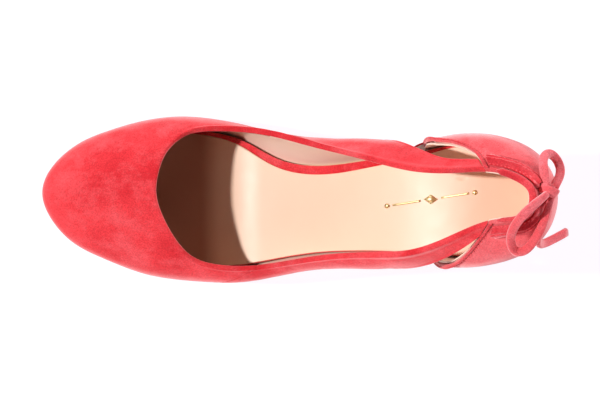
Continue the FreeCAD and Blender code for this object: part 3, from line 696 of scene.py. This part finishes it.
def make_materials():
    # Painted shadow: the sock's base turns dark brown in front of x = -0.03 m, fully by -0.042 m,
    # where the vamp shades the toe.
    toe_painted_shadow = ((-0.042, -0.03), (0.5, 0.26, 0.17), True)
    # Painted shade: the sock turns darker and pinker behind x = 0.04 m, fully by 0.095 m, where the
    # flatter heel seat gets less light.
    heel_painted_shade = ((0.04, 0.095), (0.84, 0.51, 0.365), False)
    return {
        "suede": suede("suede", (0.82, 0.048, 0.060), (0.66, 0.022, 0.032), (0.90, 0.14, 0.16)),
        # Painted light: the counter is a paler copy of the same suede, lighter where it catches more
        # light, with more painted sheen.
        "counter": suede("suede_counter_painted_light", (0.8, 0.09, 0.105), (0.7, 0.045, 0.06),
                         (0.9, 0.25, 0.27), 1.0, 0.75),
        "trim": suede("suede_trim", (0.74, 0.045, 0.06), (0.55, 0.018, 0.03), (0.86, 0.15, 0.17)),
        "lace": suede("suede_lace", (0.86, 0.14, 0.165), (0.78, 0.075, 0.09),
                      (0.93, 0.32, 0.36), 1.0, 0.75),
        "thread": leather("thread", (0.75, 0.05, 0.07), (0.85, 0.13, 0.14), 0.6, 3000, 0.5, 0.3),
        "lining": leather("lining", (0.9, 0.67, 0.55), (0.92, 0.72, 0.61), 0.5),
        # Painted shade: the vamp lining is dark brown, not cream like the other linings, so the
        # cavity under the vamp reads as deep shade.
        "vamp_lining": leather("vamp_lining", (0.34, 0.13, 0.08), (0.4, 0.17, 0.11), 0.6),
        "sock": leather("sock", (0.87, 0.6, 0.445), (0.89, 0.645, 0.49), 0.42, 700, 0.1, 0.45,
                        [toe_painted_shadow, heel_painted_shade]),
        "sole": leather("sole", (0.55, 0.35, 0.2), (0.64, 0.44, 0.27), 0.45, 500, 0.2),
        "board": leather("board", (0.5, 0.4, 0.3), (0.58, 0.48, 0.36), 0.85, 1200, 0.5, 0.2),
        "foam": leather("foam", (0.82, 0.79, 0.72), (0.88, 0.86, 0.8), 0.9, 2500, 0.6, 0.2),
        "fibre": leather("fibre", (0.76, 0.73, 0.66), (0.84, 0.82, 0.76), 0.8, 1500, 0.4, 0.2),
        "plastic": leather("heel_plastic", (0.74, 0.71, 0.64), (0.8, 0.78, 0.72), 0.4, 300, 0.05),
        "rubber": leather("tip_rubber", (0.03, 0.026, 0.026), (0.05, 0.044, 0.042), 0.5, 1500,
                          0.3, 0.4),
        "steel": metal("steel", (0.56, 0.57, 0.58), 0.25),
        "gold": metal("gold_foil", (0.96, 0.8, 0.42), 0.34),
    }


# ---- upper -----------------------------------------------------------------------------------
def folded(info):
    """Inner side of the suede, thicker where it is folded over the tape at the topline."""
    return (SUEDE + TAPE_FOLD * (1 - step(3.0, 5.0, info["top"]))
            + EDGE_FOLD * (1 - step(1.3, 1.9, info["top"])))


def ridge(height, distance, middle, width):
    """Rounded ridge across a distance, highest at its middle."""
    return height * np.exp(-((distance - middle) / width) ** 2)


def upper_relief(info, points):
    """Gentle unevenness, the rolled topline and the hollow beside it."""
    roll = ridge(0.16, info["top"], 1.4, 1.3) - ridge(0.08, info["top"], 4.2, 1.2)
    return roll + 0.16 * bumps(points, 14.0) + 0.05 * bumps(points, 4.0, 7.0)


def strap_relief(info, points):
    """As the vamp, with a second rolled edge along the strap's cut-out."""
    low = info["v"] / np.maximum(1e-6, 1 - info["v"]) * info["top"]
    roll = ridge(0.25, low, 1.2, 1.1) * step(0.02, 0.08, info["t"])
    return upper_relief(info, points) + roll


def make_upper(m):
    edge, lining_edge = 0.7, 0.35
    vamp = panel("vamp_suede", column_place(VAMP_LOW, VAMP_TOP), 0.0, folded, 150, 52, m["suede"],
                 edge, upper_relief)
    stand_for(vamp, "suede", "vamp")
    # The vamp lining's dark brown is painted shade for the toe cavity.
    lining = panel("vamp_lining_leather", column_place(VAMP_LOW, VAMP_LINING_TOP), LINING_OUT,
                   LINING_IN, 110, 34, m["vamp_lining"], lining_edge)
    stand_for(lining, "lining", "vamp_lining")
    for side, low, top in (("inner", STRAP_IN_LOW, STRAP_IN_TOP),
                           ("outer", STRAP_OUT_LOW, STRAP_OUT_TOP)):
        quarter = panel(f"quarter_{side}_suede", column_place(low, top, STRAP_CORNER), 0.0, folded,
                        150, 30, m["suede"], edge, strap_relief)
        stand_for(quarter, "suede", f"quarter_{side}")
        lining_top = [(s, STRAP_LINING_TOP) for s, t in top]
        lining = panel(f"quarter_{side}_lining_leather", column_place(low, lining_top, STRAP_CORNER),
                       LINING_OUT, LINING_IN, 110, 20, m["lining"], lining_edge)
        stand_for(lining, "lining", f"quarter_lining_{side}")


def make_counter(m):
    place = row_place(COUNTER_OUT, COUNTER_IN)
    counter = panel("counter_suede", place, 0.0, folded, 110, 44, m["counter"], 0.6,
                    lambda info, points: 0.18 * bumps(points, 12.0, 3.0))
    stand_for(counter, "suede", "counter")
    lining = panel("counter_lining_leather", place, LINING_OUT, LINING_IN, 80, 26, m["lining"], 0.35)
    stand_for(lining, "lining", "counter_lining")


def make_bindings(m):
    """Strips over the counter's two edges, wider at the topline; widths are in stations."""
    for side, line, width in (("outer", COUNTER_OUT, 0.1), ("inner", COUNTER_IN, -0.1)):
        place = column_place([(s - width * 0.12, t) for s, t in line],
                             [(s + width * (0.55 + 0.65 * t**4), t) for s, t in line])
        strip = panel(f"counter_binding_{side}_suede", place, -0.85, 0.1, 90, 6, m["trim"], 0.5,
                      lambda info, points: 0.12 * bumps(points, 3.0, 1.0))
        stand_for(strip, "suede_trim", f"counter_binding_{side}")
        surface_stitches(f"counter_binding_{side}_stitches",
                         [(s + width * 1.4, t * 0.985) for s, t in line], m["thread"])


def make_collar(m):
    """Binding on the counter's topline, thinner towards its outer end."""
    width, thickness = 3.1, 2.6
    first, last = COLLAR
    s = np.linspace(first, last, 70)
    path = upper_point(s, 1.0, 0.9)
    path[:, 2] += 0.7
    ends = np.clip(np.minimum(s - first, last - s) / 0.15, 0.15, 1) ** 0.5
    taper = ends * (0.65 + 0.35 * step(24.2, 25.2, s))
    piece = band("collar_binding_suede", path, outward(s, np.full_like(s, 1.0)), width * taper,
                 thickness * taper, m["trim"])
    stand_for(piece, "suede_trim", "collar_binding")


def casing_inside(info):
    """Inner side of a casing, ribbed and arched over the lace."""
    rib = 0.25 * np.cos(6 * math.pi * info["v"])
    return -0.1 - (2.2 + rib) * np.sin(math.pi * info["v"]) ** 0.9


def casing_outside(info):
    return casing_inside(info) - 0.9


def gathers(info, points):
    return 0.3 * bumps(points, 2.8, 11.0) + 0.06 * np.sin(info["u"] * 60 + 3 * info["v"])


def make_casings(m):
    for side, (low, top) in CASINGS.items():
        piece = panel(f"casing_{side}_suede", column_place(low, top), casing_outside, casing_inside,
                      60, 22, m["trim"], 0.45, gathers)
        stand_for(piece, "suede_trim", f"casing_{side}")
        for k, share in enumerate((0.06, 0.94)):
            line = [(s, t0 + (t1 - t0) * share) for (s, t0), (_, t1) in zip(low, top)]
            surface_stitches(f"casing_{side}_stitches_{k}", line, m["thread"], -1.25,
                             pitch=1.9, length=1.3)


# ---- lace and bow ----------------------------------------------------------------------------
def make_lace_runs(m):
    """Lace in the two casings, with a free end that sags a little on its way to the knot."""
    over_suede, sag = 1.2, 0.8
    for side, (first, last, end) in LACE_RUNS.items():
        s = np.linspace(first, last, 40)
        t = np.linspace(0.86, 0.93, 40)
        inside = upper_point(s, t, -over_suede)
        share = np.linspace(0.1, 1, 14)[:, None]
        free = inside[-1] + (np.array(end) - inside[-1]) * share
        free[:, 2] -= sag * np.sin(share[:, 0] * math.pi)
        path = np.concatenate([inside, free])
        up = unit(outer_point(s, t) - outer_point(s, t - 0.05))
        across = np.concatenate([up, np.repeat(up[-1:], len(free), 0)])
        piece = band(f"lace_run_{side}_suede", path, across, *LACE_RUN, m["lace"], groove=0.1)
        stand_for(piece, "lace", f"lace_run_{side}")


def make_knot(m):
    """A turn of the lace round the foot of the two loops, over a firm core."""
    angle = np.linspace(0, 2 * math.pi, 48, endpoint=False)
    axis = unit(np.array(KNOT_AXIS))
    first = unit(np.cross(axis, (0.0, 0.0, 1.0)))
    second = np.cross(axis, first)
    path = KNOT + 3.3 * np.cos(angle)[:, None] * first + 3.4 * np.sin(angle)[:, None] * second
    across = axis + 0.2 * np.cos(angle)[:, None] * first
    width = 4.3 + 0.4 * np.cos(angle * 2 + 0.6)
    turn = band("bow_knot_suede", path, across, width, 1.8, m["lace"], 24, closed=True)
    stand_for(turn, "lace", "bow_knot")
    core_reach = 2.9
    reach = np.linspace(-1, 1, 12)
    core = KNOT + reach[:, None] * core_reach * axis
    fat = 4.2 - 0.5 * reach ** 2
    band("bow_knot_core", core, first, fat, fat * 0.85, m["lace"])


def make_bow(m):
    """Loops that start and end in the knot, and tails with a bare end; all narrow at the knot."""
    cords = {"bow_loop_inner": (LOOP_INNER, "object"), "bow_loop_outer": (LOOP_OUTER, "object"),
             "lace_tail_inner": (TAIL_INNER, "bare"), "lace_tail_outer": (TAIL_OUTER, "bare")}
    for node, (route, far_end) in cords.items():
        path = smooth_path(route)
        if far_end == "object":
            level = np.cross(unit(np.gradient(path, axis=0)), (0, 0, 1.0))
            across = unit(level) + (0, 0, 0.3)
        else:
            across = np.array((0.15, 1.0, 0.1))
        along = np.linspace(0, 1, len(path))
        near = np.minimum(along, 1 - along) if far_end == "object" else along
        width = LACE[0] * (0.78 + 0.22 * step(0, 0.12, near))
        piece = band(node + "_suede", path, across, width, LACE[1], m["lace"], 22, groove=0.12)
        stand_for(piece, "lace", node)


# ---- bottom ----------------------------------------------------------------------------------
def rim_width(s):
    """Width of the suede rim that shows round the sock, widest at the arch."""
    return 0.5 + 3.7 * np.exp(-((np.asarray(s, float) - 6.2) / 2.6) ** 2)


def make_rim(m):
    wall = RIM_INSET + 0.85
    section = [(RIM_REACH, RIM_UNDER), (wall, RIM_UNDER), (wall, RIM_LOW), (RIM_INSET, RIM_LOW)]
    section += [(RIM_INSET + RIM_RADIUS * (1 - math.cos(a)), RIM_TOP - RIM_RADIUS * (1 - math.sin(a)))
                for a in np.linspace(0, math.pi / 2, 6)]
    section += [(RIM_REACH, RIM_TOP)]
    stand_for(bottom_ring("insole_rim_suede", section, m["suede"]), "suede", "insole_wrap")


def sock_relief(points):
    """Slight hollows from wear and an embossed ring near the heel."""
    height = 0.22 * bumps(points, 30.0, 5.0) + 0.05 * bumps(points, 6.0, 2.0)
    away = np.hypot(points[..., 0] - RING[0], points[..., 1] - RING[1])
    return height - ridge(0.3, away, 1.5, 0.3)


def make_sock(m):
    piece = bottom_plate("sock_leather", lambda s: RIM_INSET + rim_width(s),
                         lambda x: SOCK_LOW + 0 * x, lambda x: SOCK_TOP + 0 * x, 0.42, m["sock"],
                         relief=sock_relief)
    stand_for(piece, "sock", "sock_lining")


def make_ornament(m):
    """Plain gold foil rule with a lozenge in the middle and a dot at each end."""
    def patch(corners, name):
        plan = np.array(corners, float)
        top = above_bottom(plan[:, 0], plan[:, 1], SOCK_TOP + FOIL_OVER)
        low = above_bottom(plan[:, 0], plan[:, 1], SOCK_TOP - FOIL_UNDER)
        n = len(plan)
        faces = [list(range(n)), list(range(2 * n))[:n - 1:-1]]
        faces += [[j, n + j, n + (j + 1) % n, (j + 1) % n] for j in range(n)]
        piece = add_mesh(name, np.concatenate([top, low]), faces, m["gold"])

    def disc(x, y, rx, ry, count):
        angle = np.linspace(0, 2 * math.pi, count, endpoint=False)
        return [(x + rx * math.cos(a), y + ry * math.sin(a)) for a in angle]

    def middle(x):
        return FOIL_Y + FOIL_SLOPE * (x - FOIL_X)

    patch(disc(FOIL_X, middle(FOIL_X), *FOIL_LOZENGE, 4), "foil_lozenge")
    for k, side in enumerate((-1, 1)):
        x = FOIL_X + side * FOIL_DOT_X
        patch(disc(x, middle(x), FOIL_DOT, FOIL_DOT, 20), f"foil_dot_{k}")
    for k, side in enumerate((-1, 1)):
        xs = np.linspace(*sorted(FOIL_X + side * x for x in FOIL_RULE_X), 12)
        line = [(x, middle(x) + FOIL_RULE) for x in xs]
        line += [(x, middle(x) - FOIL_RULE) for x in xs[::-1]]
        patch(line, f"foil_rule_{k}")


def make_outsole(m):
    def under(x):
        return -SOLE_FRONT + (SOLE_FRONT - SOLE_WAIST) * step(*SOLE_THINS, x)

    piece = bottom_plate("outsole_leather", SOLE_INSET, under, lambda x: 0 * x, 0.5, m["sole"],
                         BREAST_X)
    stand_for(piece, "outsole", "outsole")


# ---- heel ------------------------------------------------------------------------------------
def heel_point(level, angle):
    """Point of the heel's side; level 0 is the first section and rises by one per section."""
    n = len(HEEL)
    level = np.clip(level, 0, n - 1)
    i = np.minimum(level.astype(int), n - 2)
    u = (level - i)[..., None]
    slope = np.gradient(HEEL, axis=0)
    row = cubic(HEEL[i], slope[i], HEEL[i + 1], slope[i + 1], u)
    x0, z0, x1, z1, half, square = [row[..., k] for k in range(6)]
    c, s = np.cos(angle), np.sin(angle)
    power = 2 / np.where(c < 0, square, 2)
    x = (x0 + x1) / 2 + (x1 - x0) / 2 * np.sign(c) * np.abs(c) ** power
    y = half * np.sign(s) * np.abs(s) ** power
    return np.stack([x, y, z0 + (z1 - z0) * (x - x0) / (x1 - x0)], -1)


def heel_seat(x):
    """Height of the surface that the heel is fixed to: outsole in front, upper behind."""
    sole_under = above_bottom(x, 0 * x, -SOLE_WAIST)[..., 2]
    return np.where(x < BREAST_X, sole_under, bottom_height(x)) - SEAT_GAP


def make_heel(m):
    """Covered heel with a seam down its breast; its sides start where they meet the seat."""
    def drawn_in(loop, share):
        return loop + (loop.mean(1, keepdims=True) - loop) * share

    around, rows = 160, 90
    angle = np.linspace(-math.pi, math.pi, around, endpoint=False)
    low, high = np.zeros(around), np.full(around, 3.5)
    for _ in range(30):
        middle = (low + high) / 2
        point = heel_point(middle, angle)
        above = point[:, 2] > heel_seat(point[:, 0])
        low, high = np.where(above, middle, low), np.where(above, high, middle)
    last = len(HEEL) - 1
    levels = low[None, :] + (last - low[None, :]) * np.linspace(0, 1, rows)[:, None] ** 1.1
    points = heel_point(levels, np.repeat(angle[None, :], rows, 0))
    seam = ridge(0.35, np.abs(angle), math.pi, 0.03)
    out = unit((points - points.mean(1, keepdims=True)) * (1, 1, 0))
    points += out * (0.12 * bumps(points, 9.0, 4.0) - seam[None, :])[..., None]
    top, base = drawn_in(points[:1], 0.04), drawn_in(points[-1:], 0.06)
    lid = [drawn_in(top, share) for share in (0.999, 0.5)]
    foot = [drawn_in(base, share) for share in (0.5, 0.999)]
    stack = np.concatenate(lid + [top, points, base] + foot)
    piece = add_mesh("heel_suede", stack, grid_faces(len(stack), around, wrap=True), m["suede"])
    stand_for(piece, "suede", "heel_cover")


def make_tip(m):
    around = 96
    angle = np.linspace(-math.pi, math.pi, around, endpoint=False)
    rim = heel_point(np.full(around, len(HEEL) - 1.0), angle)
    centre = rim.mean(0)
    loops = []
    for height, share in TIP:
        loop = centre + (rim - centre) * share
        loop[:, 2] = height
        loops.append(loop)
    faces = grid_faces(len(TIP), around, flip=True, wrap=True)
    piece = add_mesh("heel_tip_rubber", np.stack(loops), faces, m["rubber"])
    stand_for(piece, "tip", "heel_tip")


def paint_inner_pieces(m):
    """Finishes of the CAD pieces that stay as they are, inside the shoe."""
    finishes = {"steel": ("shank", "tip_pin", "heel_tube", "heel_screw", "heel_nails"),
                "board": ("sole_filler", "insole_board"), "foam": ("sock_pad",),
                "plastic": ("heel_core",),
                "fibre": ("toe_puff", "topline_tape", "counter_stiffener")}
    for finish, nodes in finishes.items():
        for node in nodes:
            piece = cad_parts[node]
            piece.data.materials.clear()
            piece.data.materials.append(m[finish])


# ---- studio, in metres and watts -------------------------------------------------------------
CAMERA = (0.00735, 0, 0.824)
DAYLIGHT = (1.0, 0.985, 0.96)
SKY = (0.97, 0.98, 1.0)
WARM = (1.0, 0.98, 0.98)


def make_camera():
    """Camera straight over the shoe, looking down."""
    camera = bpy.data.objects.new("camera", bpy.data.cameras.new("camera"))
    camera.data.lens = 100
    camera.data.sensor_width = 36
    camera.location = CAMERA
    bpy.context.scene.collection.objects.link(camera)
    bpy.context.scene.camera = camera


def add_light(name, place, target, size, power, colour):
    """Rectangular light that faces its target."""
    data = bpy.data.lights.new(name, "AREA")
    data.shape = "RECTANGLE"
    data.size, data.size_y = size
    data.energy = power
    data.color = colour
    light = bpy.data.objects.new(name, data)
    light.location = place
    light.rotation_euler = (Vector(target) - Vector(place)).to_track_quat("-Z", "Y").to_euler()
    bpy.context.scene.collection.objects.link(light)


def make_studio():
    """Bright table, one small key light and soft fill from the sides."""
    scene = bpy.context.scene
    scene.view_settings.view_transform = "Standard"
    world = bpy.data.worlds.new("world")
    scene.world = world
    world.use_nodes = True
    world.node_tree.nodes["Background"].inputs["Color"].default_value = (0.97, 0.97, 1.0, 1)
    world.node_tree.nodes["Background"].inputs["Strength"].default_value = 0.015
    add_light("key", (-1.6, 0.1, 1.62), (0, 0, 0.05), (0.09, 0.09), 50, DAYLIGHT)
    add_light("soft", (-1.3, 0.1, 1.1), (0, 0, 0.05), (0.5, 1.2), 1.5, SKY)
    add_light("back", (1.5, 0.0, 0.8), (0, 0, 0.1), (0.6, 1.6), 3, WARM)
    for side, power in ((1, 9), (-1, 6.5)):
        add_light("side", (0.0, 1.4 * side, 0.42), (0, 0, 0.06), (1.8, 0.4), power, WARM)
    for side, power in ((1, 13), (-1, 8)):
        add_light("heel_side", (1.0, 1.1 * side, 0.6), (0.05, 0, 0.08), (0.8, 0.5), power, WARM)
    reach = 3
    mesh = bpy.data.meshes.new("floor")
    mesh.from_pydata([(-reach, -reach, 0), (reach, -reach, 0), (reach, reach, 0), (-reach, reach, 0)],
                     [], [(0, 1, 2, 3)])
    floor_material = material("floor", {
        "Base Color": (0.2, 0.2, 0.2, 1), "Roughness": 0.8, "Specular IOR Level": 0.0,
        "Emission Color": (0.94, 0.91, 0.96, 1), "Emission Strength": 0.93})[0]
    mesh.materials.append(floor_material)
    floor = bpy.data.objects.new("floor", mesh)
    scene.collection.objects.link(floor)


def main():
    make_camera()
    materials = make_materials()
    make_bow(materials)
    make_knot(materials)
    make_lace_runs(materials)
    make_upper(materials)
    make_counter(materials)
    make_bindings(materials)
    make_collar(materials)
    make_casings(materials)
    make_rim(materials)
    make_sock(materials)
    make_ornament(materials)
    make_outsole(materials)
    make_heel(materials)
    make_tip(materials)
    paint_inner_pieces(materials)
    make_studio()
    bpy.context.view_layer.update()


main()
